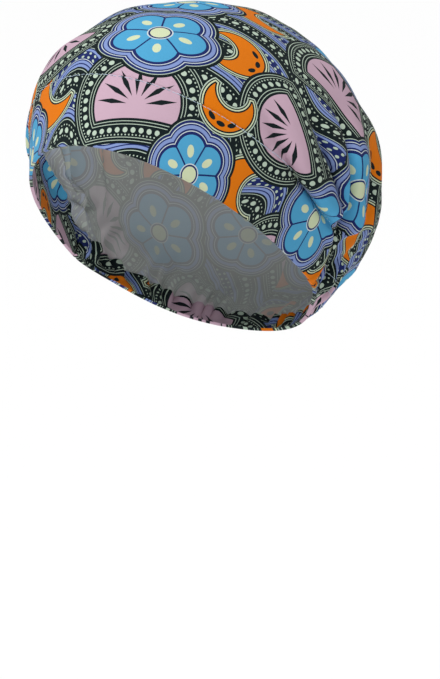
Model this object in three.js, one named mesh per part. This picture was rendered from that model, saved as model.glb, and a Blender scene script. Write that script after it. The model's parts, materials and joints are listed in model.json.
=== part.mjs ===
// A soft chemo cap, in the form that it takes on a head: a smooth crown that runs back into a slouching
// pouch, a doubled hem band over the forehead from ear to ear, and an elastic casing round the nape that
// gathers the cloth. Millimetres, +Z up, the face towards -Y, +X to the wearer's left. The origin is the
// inner crown, where the top of the head touches it.
import * as THREE from "three";

// Driving sizes
const CROWN_WALL = 1.4; // printed cotton with the air in its weave
const BAND_WALL = 2.2; // two layers of the cloth, turned and stitched
const CASING_WALL = 2.4; // two layers round a flat elastic
const GAP = 0.35; // clear space between pieces where they are sewn
const SEAM = 0.13; // height of the band's stitched top edge, in the loops' own measure
const CASING_TOP = 0.075; // height of the elastic casing's top edge
const FLAP_TOP = 98.5; // azimuth where the band ends behind the ear, at its top edge
const FLAP_SIDE = 102.5; // azimuth of the band's end at the casing's top
const FLAP_TIP = 92; // azimuth of the band's lower corner
const FAR_SIDE = 0.9; // depth of the wearer's right-hand folds beside the left-hand ones
const VALLEY = 5; // half the width of a crease's bottom
// A roll's power: over 1 it rises softly, and under 1 it stands steeply over its crease.
const CREST = { start: 1.2, end: 0.7, by: 0.6 };
const FOLD_REACH = 60; // how far from its line a fold can be felt
const FADE = 6; // how far past its ends a fold dies away
const ROUND_NAPE = 2.1; // power of every loop where it crosses the nape
const SOFT_CORNER = 0.05; // how softly a loop's front and back halves meet at its widest

// Loops round the head, from the open hem (at 0) to the apex (at 1). front and back are [y, z] of the
// loop's foremost and rearmost points, half is its half width, widest how far back it is widest, and round
// holds the powers of its front and back halves, where 2 is an ellipse.
const LOOPS = [
  { at: 0, front: [-97.5, -61.5], back: [71, -190], half: 75, widest: 0.64, round: [2, 1.5] }, // hem
  { at: SEAM, front: [-76.5, -27.5], back: [91, -182], half: 84, widest: 0.5, round: [2, 2] },
  { at: 0.27, front: [-58, -13.5], back: [117, -172], half: 88, widest: 0.5, round: [2.15, 2.15] },
  { at: 0.42, front: [-36, -4], back: [131.5, -147], half: 87, widest: 0.53, round: [2, 2] },
  { at: 0.57, front: [-8, 1.5], back: [135, -113], half: 77.5, widest: 0.54, round: [2, 2.1] },
  { at: 0.72, front: [22, 0.5], back: [122.5, -78], half: 58, widest: 0.52, round: [2, 2] },
  { at: 0.86, front: [53, -5], back: [105, -44], half: 34, widest: 0.5, round: [2, 2] },
  { at: 1, front: [80, -17], back: [80, -17], half: 0, widest: 0.5, round: [2, 2] }, // apex
];

// Folds of one side, mirrored to the other. Each runs along a bent line of [azimuth in degrees, height]
// points. wide is the roll's width at its two ends, lift its height, dip the depth of the crease beside it,
// lean how far it falls over the crease, and lowest the height that its line keeps above. over is +1 where
// the rear side lies over the front one and -1 where the front side lies over the rear one, and swell and
// close are the shares of its length over which it rises and ends.
const FOLDS = [
  {
    name: "flap", from: [98.5, 0.14], bend: [111, 0.075], to: [98, -0.02], wide: [9, 8],
    lift: 3, dip: 6.5, lean: 0, lowest: 0, over: -1, swell: 0.15, close: 0.1,
  },
  {
    name: "tuck", from: [42, 0.29], bend: [62, 0.085], to: [100, 0.137], wide: [30, 14],
    lift: 7.5, dip: 3.5, lean: 1.5, lowest: SEAM + 0.003, over: 1, swell: 0.75, close: 0.08,
  },
  {
    name: "second", from: [56, 0.35], bend: [77, 0.255], to: [101, 0.165], wide: [26, 14],
    lift: 6.5, dip: 3.5, lean: 1, lowest: 0, over: 1, swell: 0.55, close: 0.08,
  },
  {
    name: "third", from: [64, 0.47], bend: [88, 0.265], to: [107, 0.135], wide: [32, 22],
    lift: 7.5, dip: 7, lean: 1, lowest: 0, over: 1, swell: 0.6, close: 0.12,
  },
  {
    name: "fourth", from: [80, 0.56], bend: [102, 0.38], to: [117, 0.17], wide: [30, 22],
    lift: 2.5, dip: 1.5, lean: 0, lowest: 0, over: 1, swell: 0.55, close: 0.35,
  },
  {
    name: "under", from: [111, 0.18], bend: [116, 0.1], to: [104, 0.005], wide: [16, 14],
    lift: 3.5, dip: 3, lean: 0.5, lowest: 0, over: 1, swell: 0.5, close: 0.2,
  },
  {
    name: "nape", from: [122, 0.19], bend: [127, 0.1], to: [120, 0.01], wide: [18, 16],
    lift: 2.5, dip: 2, lean: 0.5, lowest: 0, over: 1, swell: 0.5, close: 0.3,
  },
];

// Pleats that fan out from the elastic, behind the ears and over the nape. Their crests fade over one
// stretch of height near the elastic and a longer one beyond it, and two slow waves make their spacing
// uneven.
const GATHERS = { count: 12, from: 100, fadeIn: 8, height: 2.2, near: 0.1, nearShare: 0.8, far: 0.25 };
const UNEVEN = [
  { size: 0.03, turns: 9, shift: 0 },
  { size: 0.02, turns: 23, shift: 1 },
];

// Faces: columns of each stretch of one side, and rows of each piece. The crown's columns lean forward as
// they rise over the ears, by so many degrees from one height over the next stretch, as its folds do.
const COLUMNS = { front: 22, flap: 2, behind: 9, back: 17 };
const BEHIND = 122; // azimuth where the close columns behind the ear end
const COLUMN_LEAN = { turn: 48, from: 0.16, rise: 0.3, early: 0.4 };
const CROWDING = 0.35; // how much closer the front columns stand by the ear than over the brow
const CROWN_SPREAD = 0.5; // the same for the crown's rows, by its lower edge and up at its apex
const BAND_DRAWN = 80; // azimuth from which the band's columns are drawn towards its end
const CASING_DRAWN = 60; // the same for the casing, from the nape
const ROWS = { crown: 25, band: 5, casing: 3 };

const COLOURS = { crown: 0x5f8fae, band: 0x6c96b4, casing: 0x53789a };

const radians = THREE.MathUtils.degToRad;
const clamp = THREE.MathUtils.clamp;
const ease = (x) => THREE.MathUtils.smoothstep(x, 0, 1);

// A loop's numbers as one list, and the row past the apex, where each profile runs on down the other side.
const numbers = (loop) => [...loop.front, ...loop.back, loop.half, loop.widest, ...loop.round];
const beyondApex = (loop) => numbers({ ...loop, front: loop.back, back: loop.front, half: -loop.half });

// The loop at a height, from a smooth curve through the table's rows.
function loopAt(height) {
  const rows = LOOPS.map(numbers);
  const at = LOOPS.map((loop) => loop.at);
  const last = rows.length - 1;
  rows.push(beyondApex(LOOPS[last - 1]));
  at.push(2 - at[last - 1]);
  const found = at.findIndex((value, i) => i > 0 && height <= value);
  const i = clamp(found - 1, 0, last - 1);
  const span = at[i + 1] - at[i];
  const u = (height - at[i]) / span;
  const slope = (column, row) => {
    const before = Math.max(row - 1, 0);
    return (rows[row + 1][column] - rows[before][column]) / (at[row + 1] - at[before]);
  };
  return rows[i].map((start, column) => {
    const change = rows[i + 1][column] - start;
    const out = slope(column, i) * span;
    const into = slope(column, i + 1) * span;
    return start + u * out + u ** 2 * (3 * change - 2 * out - into) + u ** 3 * (out + into - 2 * change);
  });
}

// A point of the cap before its folds, at an azimuth in degrees (0 over the brow, 90 over the left ear).
function basePoint(azimuth, height) {
  const [frontY, frontZ, backY, backZ, half, widest, roundFront, roundBack] = loopAt(height);
  const c = Math.cos(radians(azimuth));
  const s = Math.sin(radians(azimuth));
  const rounder = c < 0 ? (ROUND_NAPE - roundBack) * c * c : 0;
  const power = roundBack + (roundFront - roundBack) * ease(c + 0.5) + rounder;
  const reach = (Math.hypot(c, SOFT_CORNER) ** power + Math.abs(s) ** power) ** (-1 / power);
  const along = widest - (c > 0 ? widest : 1 - widest) * c * reach;
  const y = frontY + (backY - frontY) * along;
  const z = frontZ + (backZ - frontZ) * along;
  return new THREE.Vector3(half * s * reach, y, z);
}

// The direction out of the cloth at a point of the cap before its folds.
function baseNormal(azimuth, height) {
  const step = 0.004;
  const level = Math.min(height, 1 - 4 * step);
  const round = basePoint(azimuth + 0.5, level).sub(basePoint(azimuth - 0.5, level));
  const rise = basePoint(azimuth, level + step).sub(basePoint(azimuth, Math.max(level - step, 0)));
  return round.cross(rise).normalize();
}

// A fold's line on the unfolded cap: its points, the directions across it, its chord, and how far along the
// chord each point lies.
function foldLine(fold, side) {
  const steps = 48;
  const points = [];
  const normals = [];
  for (let i = 0; i <= steps; i++) {
    const s = i / steps;
    const mix = (k) => (1 - s) ** 2 * fold.from[k] + 2 * s * (1 - s) * fold.bend[k] + s * s * fold.to[k];
    const height = Math.max(mix(1), fold.lowest);
    points.push(basePoint(side * mix(0), height));
    normals.push(baseNormal(side * mix(0), height));
  }
  const across = points.map((_, i) => {
    const tangent = points[Math.min(i + 1, steps)].clone().sub(points[Math.max(i - 1, 0)]).normalize();
    return normals[i].cross(tangent).multiplyScalar(side).normalize();
  });
  const chord = points[steps].clone().sub(points[0]).normalize();
  const reach = points.map((p) => p.clone().sub(points[0]).dot(chord));
  return { points, across, chord, reach };
}

const SIDES = [
  { side: 1, depth: 1 },
  { side: -1, depth: FAR_SIDE },
];
const LINES = SIDES.flatMap(({ side, depth }) =>
  FOLDS.map((fold) => ({ fold, depth, ...foldLine(fold, side) })),
);

// What one fold does at a point: the height of its roll, the depth of its crease and how far the roll leans.
function foldEffect({ fold, depth, points, across, chord, reach }, point) {
  const length = reach[reach.length - 1];
  const raw = point.clone().sub(points[0]).dot(chord);
  const along = clamp(raw, 0, length);
  const k = Math.max(reach.findIndex((value) => value >= along), 1);
  const part = (along - reach[k - 1]) / (reach[k] - reach[k - 1]);
  const sideways = across[k - 1].clone().lerp(across[k], part).normalize();
  const rel = point.clone().sub(points[k - 1].clone().lerp(points[k], part));
  const away = rel.dot(sideways) * fold.over;
  const s = along / length;
  const width = fold.wide[0] + (fold.wide[1] - fold.wide[0]) * s;
  const ends = ease(s / fold.swell) * ease((1 - s) / fold.close);
  const felt = rel.length() < FOLD_REACH ? Math.exp(-(((raw - along) / FADE) ** 2)) : 0;
  const strength = depth * ends * felt;
  const power = CREST.start + (CREST.end - CREST.start) * ease(s / CREST.by);
  const u = clamp(away / width, 0, 1);
  const roll = Math.sin(Math.PI * u ** power) * strength;
  const lean = sideways.multiplyScalar(-fold.lean * roll * (1 - u) * fold.over);
  return { lift: fold.lift * roll, dip: fold.dip * Math.exp(-((away / VALLEY) ** 2)) * strength, lean };
}

// The gathers' height at a point: pleats of uneven spacing, highest just over the elastic.
function gatherRise(azimuth, height) {
  const turned = ((azimuth + 540) % 360) - 180;
  const spread = (Math.abs(turned) - GATHERS.from) / (180 - GATHERS.from);
  if (spread <= 0) return 0;
  const uneven = UNEVEN.reduce((sum, w) => sum + w.size * Math.sin(w.turns * spread + w.shift), spread);
  const phase = 2 * Math.PI * GATHERS.count * uneven * Math.sign(turned);
  const over = height - CASING_TOP;
  const near = GATHERS.nearShare * Math.exp(-((over / GATHERS.near) ** 2));
  const far = (1 - GATHERS.nearShare) * Math.exp(-((over / GATHERS.far) ** 2));
  const start = ease((Math.abs(turned) - GATHERS.from) / GATHERS.fadeIn) * ease(height / CASING_TOP);
  return GATHERS.height * start * (near + far) * Math.cos(phase);
}

// A place on the cloth as it is worn: its point, and the direction out of the head there. Where folds meet,
// the highest roll and the deepest crease tell.
function clothPlace(azimuth, height) {
  const point = basePoint(azimuth, height);
  const outward = baseNormal(azimuth, height);
  const effects = LINES.map((line) => foldEffect(line, point));
  const highest = effects.reduce((best, effect) => (effect.lift > best.lift ? effect : best));
  const deepest = Math.max(...effects.map((effect) => effect.dip));
  const rise = highest.lift - deepest + gatherRise(azimuth, height);
  return { point: point.addScaledVector(outward, rise).add(highest.lean), outward };
}

// Azimuths of one side's columns, closer together by the ear, and the two halves of the ring that they make.
function sideStations() {
  const list = [];
  for (let i = 0; i < COLUMNS.front; i++) {
    const u = i / COLUMNS.front;
    list.push(FLAP_TOP * ((1 + CROWDING) * u - CROWDING * u * u));
  }
  for (let i = 0; i < COLUMNS.flap; i++) list.push(FLAP_TOP + ((FLAP_SIDE - FLAP_TOP) * i) / COLUMNS.flap);
  for (let i = 0; i < COLUMNS.behind; i++) list.push(FLAP_SIDE + ((BEHIND - FLAP_SIDE) * i) / COLUMNS.behind);
  for (let i = 0; i <= COLUMNS.back; i++) list.push(BEHIND + ((180 - BEHIND) * i) / COLUMNS.back);
  return list;
}
const STATIONS = sideStations();
const LEFT = STATIONS.slice(0, -1);
const RIGHT = STATIONS.slice(1).reverse().map((azimuth) => 360 - azimuth);

// Where the band ends behind the ear at a height, and the lower edge of the crown at an azimuth.
function flapEnd(height) {
  if (height < CASING_TOP) return FLAP_SIDE - (FLAP_SIDE - FLAP_TIP) * (1 - height / CASING_TOP) ** 2;
  return FLAP_TOP + ((FLAP_SIDE - FLAP_TOP) * (SEAM - height)) / (SEAM - CASING_TOP);
}
function crownEdge(azimuth) {
  const turned = Math.abs(((azimuth + 540) % 360) - 180);
  const share = clamp((turned - FLAP_TOP) / (FLAP_SIDE - FLAP_TOP), 0, 1);
  return SEAM + (CASING_TOP - SEAM) * share;
}

// The gap as a share of the loops' measure at an azimuth, and as degrees round the head.
const gapHeight = (azimuth) => (GAP * SEAM) / basePoint(azimuth, SEAM).distanceTo(basePoint(azimuth, 0));
const gapTurn = THREE.MathUtils.radToDeg(GAP / LOOPS[1].half);

// The direction through the wall at each place of a grid: between square to the cloth and straight out
// of the head, and straight out along the free edges, so that two pieces sewn edge to edge keep their gap.
function wallDirections(grid, closed) {
  const rows = grid.length;
  const columns = grid[0].length;
  return grid.map((row, i) =>
    row.map((place, j) => {
      const atEdge = i === 0 || (!closed && (i === rows - 1 || j === 0 || j === columns - 1));
      if (atEdge) return place.outward;
      const right = closed ? (j + 1) % columns : j + 1;
      const left = closed ? (j + columns - 1) % columns : j - 1;
      const round = row[right].point.clone().sub(row[left].point);
      const above = grid[Math.min(i + 1, rows - 1)][j].point;
      const square = round.cross(above.clone().sub(grid[i - 1][j].point)).normalize();
      return square.addScaledVector(place.outward, 2).normalize();
    }),
  );
}

// A wall of cloth: the grid of places is its outer face, and its inner face lies one wall further in. A
// closed grid is a ring that ends in one point over its last row, and an open one is a strip with four edges.
function clothWall(grid, wall, closed, tip) {
  const rows = grid.length;
  const columns = grid[0].length;
  const through = wallDirections(grid, closed);
  const outer = grid.flatMap((row) => row.map((place) => place.point));
  const inner = outer.map((point, k) => point.clone().addScaledVector(through.flat()[k], -wall));
  const positions = [...outer, ...inner].flatMap((point) => point.toArray());
  const skin = rows * columns;
  const outerAt = (i, j) => i * columns + (closed ? j % columns : j);
  const faces = [];
  const quad = (a, b, c, d) => faces.push(a, b, c, a, c, d);
  const mirroredQuad = (a, b, c, d) => faces.push(b, c, d, b, d, a);
  const lastColumn = closed ? columns : columns - 1;
  for (let j = 0; j < lastColumn; j++) {
    for (let i = 0; i < rows - 1; i++) {
      const [a, b, c, d] = [outerAt(i, j), outerAt(i, j + 1), outerAt(i + 1, j + 1), outerAt(i + 1, j)];
      const half = outer[a].x + outer[c].x > 0 ? quad : mirroredQuad;
      half(a, b, c, d);
      half(a + skin, d + skin, c + skin, b + skin);
    }
    const [low, nextLow] = [outerAt(0, j), outerAt(0, j + 1)];
    quad(nextLow, low, low + skin, nextLow + skin);
    const [top, nextTop] = [outerAt(rows - 1, j), outerAt(rows - 1, j + 1)];
    if (!closed) quad(top, nextTop, nextTop + skin, top + skin);
  }
  if (closed) {
    const pole = positions.length / 3;
    positions.push(...tip.toArray(), ...tip.clone().add(new THREE.Vector3(0, 0, -wall)).toArray());
    for (let j = 0; j < columns; j++) {
      faces.push(outerAt(rows - 1, j), outerAt(rows - 1, j + 1), pole);
      faces.push(outerAt(rows - 1, j + 1) + skin, outerAt(rows - 1, j) + skin, pole + 1);
    }
  } else {
    for (let i = 0; i < rows - 1; i++) {
      quad(outerAt(i, 0), outerAt(i + 1, 0), outerAt(i + 1, 0) + skin, outerAt(i, 0) + skin);
      const end = columns - 1;
      quad(outerAt(i + 1, end), outerAt(i, end), outerAt(i, end) + skin, outerAt(i + 1, end) + skin);
    }
  }
  const geometry = new THREE.BufferGeometry();
  geometry.setAttribute("position", new THREE.Float32BufferAttribute(positions, 3));
  geometry.setIndex(faces);
  geometry.computeVertexNormals();
  return geometry;
}

// Where a crown column that starts at an azimuth has come to at a height.
function leanedAzimuth(azimuth, height) {
  const turned = ((azimuth + 540) % 360) - 180;
  const size = Math.abs(turned);
  const share = size < FLAP_TOP ? size / FLAP_TOP : (180 - size) / (180 - FLAP_TOP);
  const x = clamp((height - COLUMN_LEAN.from) / COLUMN_LEAN.rise, 0, 1);
  const risen = x * (1 + COLUMN_LEAN.early - COLUMN_LEAN.early * x);
  return azimuth - Math.sign(turned) * COLUMN_LEAN.turn * share * risen;
}

// Crown and pouch: a ring of columns from its lower edge up to the apex.
function crown() {
  const ring = [...LEFT, ...RIGHT];
  const grid = [];
  for (let i = 0; i < ROWS.crown; i++) {
    const v = i / ROWS.crown;
    const share = CROWN_SPREAD * v + (1 - CROWN_SPREAD) * v * v;
    grid.push(
      ring.map((azimuth) => {
        const height = crownEdge(azimuth) + (1 - crownEdge(azimuth)) * share;
        return clothPlace(leanedAzimuth(azimuth, height), height);
      }),
    );
  }
  return clothWall(grid, CROWN_WALL, true, clothPlace(0, 1).point);
}

// Front band: a strip from behind one ear over the forehead to the other, whose ends curve in to a tip.
function frontBand() {
  const half = STATIONS.filter((azimuth) => azimuth <= FLAP_TOP);
  const strip = [...half.slice(1).reverse().map((azimuth) => -azimuth), ...half];
  const grid = [];
  for (let i = 0; i <= ROWS.band; i++) {
    grid.push(
      strip.map((azimuth) => {
        const height = (SEAM - gapHeight(azimuth)) * (i / ROWS.band);
        const drawn = ease((Math.abs(azimuth) - BAND_DRAWN) / (FLAP_TOP - BAND_DRAWN));
        const stretch = (flapEnd(height) - gapTurn - FLAP_TOP) * drawn;
        return clothPlace(azimuth + stretch * Math.sign(azimuth), height);
      }),
    );
  }
  return clothWall(grid, BAND_WALL, false);
}

// Nape casing: a strip round the back, between the band's two ends.
function napeCasing() {
  const strip = [...LEFT, ...RIGHT].filter((azimuth) => azimuth >= FLAP_SIDE && azimuth <= 360 - FLAP_SIDE);
  const grid = [];
  for (let i = 0; i <= ROWS.casing; i++) {
    grid.push(
      strip.map((azimuth) => {
        const height = (CASING_TOP - gapHeight(azimuth)) * (i / ROWS.casing);
        const turned = azimuth - 180;
        const drawn = ease((Math.abs(turned) - CASING_DRAWN) / (180 - FLAP_SIDE - CASING_DRAWN));
        const stretch = (FLAP_SIDE - flapEnd(height) - gapTurn) * drawn;
        return clothPlace(azimuth + stretch * Math.sign(turned), height);
      }),
    );
  }
  return clothWall(grid, CASING_WALL, false);
}

function piece(name, geometry, colour) {
  const material = new THREE.MeshStandardMaterial({ color: colour, roughness: 0.9, metalness: 0 });
  const mesh = new THREE.Mesh(geometry, material);
  mesh.name = name;
  return mesh;
}

const cap = new THREE.Group();
cap.add(piece("crown", crown(), COLOURS.crown));
cap.add(piece("front_band", frontBand(), COLOURS.band));
cap.add(piece("nape_casing", napeCasing(), COLOURS.casing));

export default cap;
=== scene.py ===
import json
import math
from collections import namedtuple

import bmesh
import bpy
import numpy as np
from mathutils import Matrix, Vector
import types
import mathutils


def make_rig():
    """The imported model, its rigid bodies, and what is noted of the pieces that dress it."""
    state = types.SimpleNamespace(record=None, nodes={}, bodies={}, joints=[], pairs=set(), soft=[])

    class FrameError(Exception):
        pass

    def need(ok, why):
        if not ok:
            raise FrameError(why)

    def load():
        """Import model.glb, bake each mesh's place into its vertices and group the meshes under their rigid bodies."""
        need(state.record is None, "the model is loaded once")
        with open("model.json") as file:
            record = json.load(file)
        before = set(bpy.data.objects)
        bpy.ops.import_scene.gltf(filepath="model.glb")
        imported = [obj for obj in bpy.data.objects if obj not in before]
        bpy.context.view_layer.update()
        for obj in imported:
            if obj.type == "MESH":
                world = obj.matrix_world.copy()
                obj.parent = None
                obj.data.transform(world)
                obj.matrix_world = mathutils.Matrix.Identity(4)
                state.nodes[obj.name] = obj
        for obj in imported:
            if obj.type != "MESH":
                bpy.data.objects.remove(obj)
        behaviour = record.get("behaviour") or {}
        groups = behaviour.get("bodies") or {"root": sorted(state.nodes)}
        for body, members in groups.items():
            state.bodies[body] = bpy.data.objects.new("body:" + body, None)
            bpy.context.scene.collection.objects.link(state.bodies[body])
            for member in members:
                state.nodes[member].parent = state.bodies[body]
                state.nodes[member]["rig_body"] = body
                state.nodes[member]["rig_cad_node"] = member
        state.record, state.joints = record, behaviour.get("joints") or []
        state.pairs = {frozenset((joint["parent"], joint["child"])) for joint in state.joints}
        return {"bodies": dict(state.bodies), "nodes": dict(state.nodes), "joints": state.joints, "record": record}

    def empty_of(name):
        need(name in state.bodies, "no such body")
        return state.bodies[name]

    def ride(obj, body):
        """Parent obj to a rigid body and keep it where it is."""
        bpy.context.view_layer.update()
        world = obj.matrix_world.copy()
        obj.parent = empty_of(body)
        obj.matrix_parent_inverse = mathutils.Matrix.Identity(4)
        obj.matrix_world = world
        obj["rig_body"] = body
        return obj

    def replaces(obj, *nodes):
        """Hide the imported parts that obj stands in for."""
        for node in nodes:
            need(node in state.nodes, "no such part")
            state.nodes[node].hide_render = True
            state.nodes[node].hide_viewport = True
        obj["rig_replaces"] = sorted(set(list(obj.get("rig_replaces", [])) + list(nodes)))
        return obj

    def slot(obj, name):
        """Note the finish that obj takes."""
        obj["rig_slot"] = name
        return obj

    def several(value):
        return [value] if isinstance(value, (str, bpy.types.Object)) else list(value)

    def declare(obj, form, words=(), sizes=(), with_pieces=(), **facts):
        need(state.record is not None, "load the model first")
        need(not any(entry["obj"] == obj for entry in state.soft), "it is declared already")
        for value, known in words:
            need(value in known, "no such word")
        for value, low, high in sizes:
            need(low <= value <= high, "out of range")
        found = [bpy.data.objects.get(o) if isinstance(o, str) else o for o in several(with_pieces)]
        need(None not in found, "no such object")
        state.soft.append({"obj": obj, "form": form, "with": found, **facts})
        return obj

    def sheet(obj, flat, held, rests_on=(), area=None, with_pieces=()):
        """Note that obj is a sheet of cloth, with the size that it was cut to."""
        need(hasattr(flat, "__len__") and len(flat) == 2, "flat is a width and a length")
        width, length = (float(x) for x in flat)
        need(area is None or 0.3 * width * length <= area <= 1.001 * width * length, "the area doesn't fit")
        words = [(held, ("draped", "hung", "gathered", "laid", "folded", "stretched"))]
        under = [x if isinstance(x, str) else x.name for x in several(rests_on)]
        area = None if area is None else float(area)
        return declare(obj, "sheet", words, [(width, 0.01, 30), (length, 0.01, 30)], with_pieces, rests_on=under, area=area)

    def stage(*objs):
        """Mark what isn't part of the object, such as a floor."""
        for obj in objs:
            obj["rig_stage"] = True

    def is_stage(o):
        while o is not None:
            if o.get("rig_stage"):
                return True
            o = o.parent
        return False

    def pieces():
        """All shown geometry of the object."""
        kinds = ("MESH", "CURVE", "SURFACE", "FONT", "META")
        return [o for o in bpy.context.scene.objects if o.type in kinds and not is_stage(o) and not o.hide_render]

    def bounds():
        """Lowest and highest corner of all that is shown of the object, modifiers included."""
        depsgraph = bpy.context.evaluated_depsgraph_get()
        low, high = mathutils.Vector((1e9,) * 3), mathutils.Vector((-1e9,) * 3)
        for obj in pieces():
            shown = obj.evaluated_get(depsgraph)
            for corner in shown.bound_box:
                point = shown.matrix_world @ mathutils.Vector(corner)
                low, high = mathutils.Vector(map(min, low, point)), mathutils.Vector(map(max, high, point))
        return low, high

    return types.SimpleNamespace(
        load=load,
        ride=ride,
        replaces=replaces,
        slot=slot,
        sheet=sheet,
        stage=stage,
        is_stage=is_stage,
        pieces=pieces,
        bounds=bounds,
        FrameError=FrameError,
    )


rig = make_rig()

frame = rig.load()
cad_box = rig.bounds()

# ---------------------------------------------------------------- camera
# The cap is seen from the wearer's front left and a little above, through a long lens. It stands high in the
# view, so the view's middle lies beside and below the middle of the head.
AZIMUTH = math.radians(28.8)
ELEVATION = math.radians(13.0)
DISTANCE = 1.4
FARTHEST = 200
FOCAL, SENSOR = 137.2, 36
ASIDE, BELOW = 0.022, 0.0454
HEAD_MIDDLE = Vector((0, 0, -0.135))

back = Vector((math.sin(AZIMUTH), -math.cos(AZIMUTH), 0)) * math.cos(ELEVATION)
back.z = math.sin(ELEVATION)
right = Vector((math.cos(AZIMUTH), math.sin(AZIMUTH), 0))
up = back.cross(right)
eye = HEAD_MIDDLE + right * ASIDE - up * BELOW + back * DISTANCE
camera = bpy.data.objects.new("camera", bpy.data.cameras.new("camera"))
camera.data.sensor_fit = "VERTICAL"
camera.data.lens = FOCAL
camera.data.sensor_height = SENSOR
camera.data.clip_end = FARTHEST
camera.matrix_world = Matrix.Translation(eye) @ Matrix((right, up, back)).transposed().to_4x4()
bpy.context.scene.collection.objects.link(camera)
bpy.context.scene.camera = camera

# ---------------------------------------------------------------- crown
# One panel of thin printed cotton. It lies smooth on the brow and the top of the head and hangs behind it as
# a soft pouch. The elastic below draws it in over the ears and the nape, in rolls that lie over the band.
MM = 0.001
# A place on the cloth is an azimuth in degrees, 0 over the brow and 90 over the wearer's left ear, and a
# height from 0 at the hem to 1 at the middle of the crown. Its shape is worked out in millimetres.
SEAM = 0.13  # height of the band's stitched top edge
CASING_TOP = 0.075
FLAP_TOP, FLAP_SIDE, FLAP_TIP = 98.5, 102.5, 92  # where the band ends behind the ear: its top, side and tip
LOOPS = np.array([
    # height, foremost y and z, rearmost y and z, half width, where it is widest, squareness before and behind
    (0, -97.5, -61.5, 71, -190, 75, 0.64, 2, 1.5),
    (SEAM, -76.5, -27.5, 91, -182, 84, 0.5, 2, 2),
    (0.27, -58, -13.5, 117, -172, 88, 0.5, 2.15, 2.15),
    (0.42, -36, -4, 131.5, -147, 87, 0.53, 2, 2),
    (0.57, -8, 1.5, 135, -113, 77.5, 0.54, 2, 2.1),
    (0.72, 22, 0.5, 122.5, -78, 58, 0.52, 2, 2),
    (0.86, 53, -5, 105, -44, 34, 0.5, 2, 2),
    (1, 80, -17, 80, -17, 0, 0.5, 2, 2),
])
ROUND_NAPE = 2.1  # squareness at the very back
# A fold is a roll beside a crease, which runs from start round bend to end and no lower than lowest. The roll
# is as wide at its two ends as wide says, above the crease where over is 1 and below it where that is -1. It
# lifts, and it leans over the crease, which is dip deep. swell and close are the shares of its run over which
# it rises and dies away.
Fold = namedtuple("Fold", "start bend end wide lift dip lean lowest over swell close")
FOLDS = {
    "flap": Fold((98.5, 0.14), (111, 0.085), (91, -0.02), (9, 8), 3, 6.5, 0.5, 0, -1, 0.15, 0.1),
    "tuck": Fold((42, 0.29), (62, 0.085), (99, 0.137), (32, 11), 8, 4, 6, SEAM + 0.003, 1, 0.7, 0.12),
    "second": Fold((56, 0.35), (77, 0.255), (101, 0.165), (28, 14), 7, 4, 5, 0, 1, 0.55, 0.12),
    "third": Fold((64, 0.47), (88, 0.265), (107, 0.135), (32, 22), 7.5, 7, 4, 0, 1, 0.6, 0.12),
    "fourth": Fold((80, 0.56), (102, 0.38), (117, 0.17), (30, 22), 2.5, 1.5, 0, 0, 1, 0.55, 0.35),
    "under": Fold((111, 0.18), (116, 0.1), (104, 0.005), (16, 14), 3.5, 3, 1.5, 0, 1, 0.5, 0.2),
    "nape": Fold((122, 0.19), (127, 0.1), (120, 0.01), (18, 16), 2.5, 2, 1, 0, 1, 0.5, 0.3),
}
SIDES = {1: 1.0, -1: 0.9}  # depth of the folds on the wearer's left and right
VALLEY = 3.5  # half the width of a crease's bottom
FOLD_END = 6  # how fast a fold dies away past its ends
FOLD_REACH = 60
FOLD_POWER = 4  # how sharply the larger of two crossing folds wins
PLEAT_START = 100  # azimuth where the elastic's pleats begin
PLEATS, PLEAT_RISE = 12, 2.2  # pleats on each side
SLOW_WAVE, SIDE_WAVE, PUCKER = 0.9, 0.6, 0.25  # heights of the slack cloth's waves and of the seam's puckers
BACK_SEAM_DEPTH, BACK_SEAM_WIDTH = 0.9, 1.6  # the groove up the middle of the back
CROWN_WALL = 0.9
EDGE_ROUND = 0.4  # of the wall
PATTERN_COLUMNS, PATTERN_ROWS = 144, 90  # the grid that is laid flat
CROWN_COLUMNS, CROWN_ROWS = 384, 116
LEAN_FROM, LEAN_OVER, LEAN_MOST = 0.16, 0.3, 48  # where the crown's columns lean forward, and by how much
TUCK, FLAP_TUCK, FLAP_BLEND = 0.0045, 0.02, 1.5  # how far its edge runs under the band, and more at the flap
TUCK_SHARE = [1, 0.45]  # of that, in the two rows along the edge
TUCK_SUNK = [0.75, 0.6]  # how deep those rows lie


def ease(x):
    """A smooth step from 0 at 0 to 1 at 1."""
    x = np.clip(x, 0, 1)
    return x * x * (3 - 2 * x)


def unit(v):
    return v / np.maximum(np.linalg.norm(v, axis=-1, keepdims=True), 1e-12)


def from_brow(azimuth):
    """An azimuth brought between -180 and 180 degrees."""
    return (azimuth + 540) % 360 - 180


def loop_at(height):
    """The loop's eight numbers at each height, along smooth curves through the table's rows."""
    beyond = LOOPS[-2][[0, 3, 4, 1, 2, 5, 6, 7, 8]] * [0, 1, 1, 1, 1, -1, 1, 1, 1]
    rows = np.vstack([LOOPS, beyond])
    at = np.append(LOOPS[:, 0], 2 - LOOPS[-2, 0])
    values = rows[:, 1:]
    slope = np.empty_like(values[:-1])
    slope[0] = (values[1] - values[0]) / (at[1] - at[0])
    for i in range(1, len(slope)):
        slope[i] = (values[i + 1] - values[i - 1]) / (at[i + 1] - at[i - 1])
    i = np.clip(np.searchsorted(at[:-1], height, side="right") - 1, 0, len(slope) - 2)
    span = (at[i + 1] - at[i])[..., None]
    u = (height - at[i])[..., None] / span
    change = values[i + 1] - values[i]
    out, into = slope[i] * span, slope[i + 1] * span
    return values[i] + u * out + u**2 * (3 * change - 2 * out - into) + u**3 * (out + into - 2 * change)


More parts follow.
